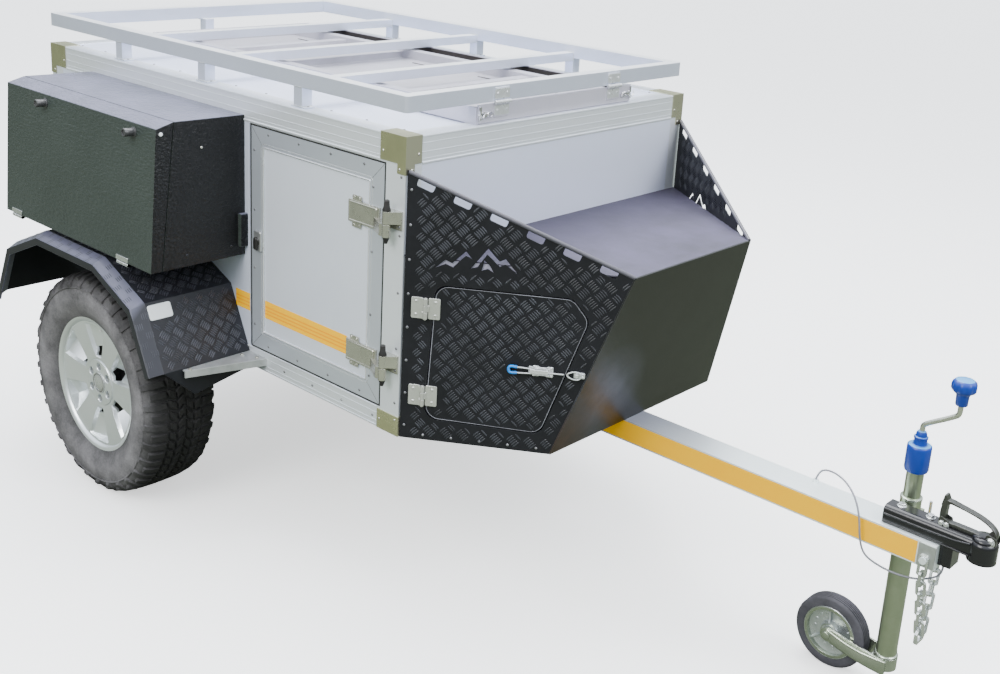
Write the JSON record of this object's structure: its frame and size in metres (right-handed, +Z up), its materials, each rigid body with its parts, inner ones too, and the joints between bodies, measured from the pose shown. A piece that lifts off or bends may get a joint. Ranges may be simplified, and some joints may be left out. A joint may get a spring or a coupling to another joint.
{
  "type": "single-axle box trailer",
  "caption": "Aluminium box camping trailer on one axle, with roof rack, side boxes, tapered nose box, straight drawbar, ball coupler and jockey wheel.",
  "frame": {"origin": "on the floor under the middle of the trailer's length and width", "axes": "+X forward along the drawbar, +Y to the trailer's left, +Z up"},
  "size_m": [3.46, 2.014, 1.552],
  "materials": {
    "tyre_rubber": "moulded, dusty",
    "rim_silver": "silver lacquer",
    "hub_black": "painted",
    "chassis_silver": "silver paint",
    "steel_zinc": "zinc plated",
    "stainless": "fine brushed",
    "spring_black": "satin black",
    "box_aluminium": "satin",
    "rack_aluminium": "bright satin",
    "checker_black": "semi-gloss, tread pattern",
    "panel_black": "semi-gloss",
    "box_black": "textured powder coat",
    "coupler_black": "gloss",
    "blue_plastic": "smooth",
    "wheel_rubber": "ribbed",
    "cable_grey": "smooth sheath",
    "lamp_red": "ribbed lens",
    "plate_white": "blank"
  },
  "bodies": {
    "trailer": {"axle_beam": "steel_zinc", "leaf_springs": "spring_black", "chassis_rails": "chassis_silver", "cross_members": "chassis_silver", "drawbar": "chassis_silver", "frame_bottom": "box_aluminium", "frame_top": "box_aluminium", "corner_posts": "box_aluminium", "box_floor": "box_aluminium", "roof_panel": "box_aluminium", "side_panel_right": "box_aluminium", "side_panel_left": "box_aluminium", "front_panel": "box_aluminium", "corner_plates": "stainless", "door_brackets": "stainless", "nose_wing_right": "checker_black", "nose_wing_left": "checker_black", "nose_deck": "panel_black", "nose_floor": "panel_black", "nose_front_panel": "panel_black", "rack_frame": "rack_aluminium", "rack_crossbars": "rack_aluminium", "rack_posts": "rack_aluminium", "table_tray": "rack_aluminium", "stowed_table": "rack_aluminium", "fender_right": "checker_black", "fender_left": "checker_black", "fender_stays": "rack_aluminium", "side_box_right": "box_black", "side_box_left": "box_black", "coupler_body": "coupler_black", "coupler_handle": "coupler_black", "jockey_clamp": "steel_zinc", "tail_lamps": "lamp_red", "number_plate": "plate_white", "safety_chain": "steel_zinc", "cable": "cable_grey"},
    "wheel_right": {"tyre_right": "tyre_rubber", "rim_right": "rim_silver", "hub_right": "hub_black"},
    "wheel_left": {"tyre_left": "tyre_rubber", "rim_left": "rim_silver", "hub_left": "hub_black"},
    "side_door_right": {"side_door_right": "box_aluminium", "door_arms_right": "stainless"},
    "side_door_left": {"side_door_left": "box_aluminium", "door_arms_left": "stainless"},
    "rear_door": {"rear_door": "box_aluminium", "door_arms_rear": "stainless"},
    "nose_hatch_right": {"nose_hatch_right": "checker_black"},
    "nose_hatch_left": {"nose_hatch_left": "checker_black"},
    "side_box_door_right": {"side_box_door_right": "box_black"},
    "side_box_door_left": {"side_box_door_left": "box_black"},
    "table_flap": {"table_flap": "rack_aluminium"},
    "jockey_leg": {"jockey_leg": "steel_zinc", "jockey_grips": "blue_plastic", "jockey_crank": "steel_zinc"},
    "jockey_fork": {"jockey_fork": "steel_zinc"},
    "jockey_wheel": {"jockey_wheel": "steel_zinc", "jockey_tyre": "wheel_rubber"}
  },
  "joints": [
    {"name": "wheel_spin_right", "type": "hinge", "parent": "trailer", "child": "wheel_right", "pos_m": [-1.011, -0.8, 0.388], "axis": [0, 1, 0], "continuous": true},
    {"name": "wheel_spin_left", "type": "hinge", "parent": "trailer", "child": "wheel_left", "pos_m": [-1.011, 0.8, 0.388], "axis": [0, 1, 0], "continuous": true},
    {"name": "side_door_open_right", "type": "hinge", "parent": "trailer", "child": "side_door_right", "pos_m": [0.182, -0.678, 0.992], "axis": [0, 0, 1], "range_deg": [0, 110]},
    {"name": "side_door_open_left", "type": "hinge", "parent": "trailer", "child": "side_door_left", "pos_m": [0.182, 0.678, 0.992], "axis": [0, 0, -1], "range_deg": [0, 110]},
    {"name": "rear_door_open", "type": "hinge", "parent": "trailer", "child": "rear_door", "pos_m": [-1.718, 0.624, 0.992], "axis": [0, 0, -1], "range_deg": [0, 110]},
    {"name": "nose_hatch_open_right", "type": "hinge", "parent": "trailer", "child": "nose_hatch_right", "pos_m": [0.28313, -0.61498, 0.831], "axis": [0, 0, -1], "range_deg": [0, 110]},
    {"name": "nose_hatch_open_left", "type": "hinge", "parent": "trailer", "child": "nose_hatch_left", "pos_m": [0.28313, 0.61498, 0.831], "axis": [0, 0, 1], "range_deg": [0, 110]},
    {"name": "side_box_open_right", "type": "hinge", "parent": "trailer", "child": "side_box_door_right", "pos_m": [-0.9575, -0.981, 0.924], "axis": [1, 0, 0], "range_deg": [0, 90]},
    {"name": "side_box_open_left", "type": "hinge", "parent": "trailer", "child": "side_box_door_left", "pos_m": [-0.9575, 0.981, 0.924], "axis": [-1, 0, 0], "range_deg": [0, 90]},
    {"name": "table_flap_open", "type": "hinge", "parent": "trailer", "child": "table_flap", "pos_m": [0.215, 0, 1.504], "axis": [0, -1, 0], "range_deg": [0, 100]},
    {"name": "jockey_raise", "type": "slide", "parent": "trailer", "child": "jockey_leg", "axis": [0, 0, 1], "range_m": [0, 0.2]},
    {"name": "jockey_swivel", "type": "hinge", "parent": "jockey_leg", "child": "jockey_fork", "pos_m": [1.459, 0.082, 0.112], "axis": [0, 0, 1], "continuous": true},
    {"name": "jockey_wheel_spin", "type": "hinge", "parent": "jockey_fork", "child": "jockey_wheel", "pos_m": [1.294, 0.082, 0.108], "axis": [0, 1, 0], "continuous": true}
  ]
}
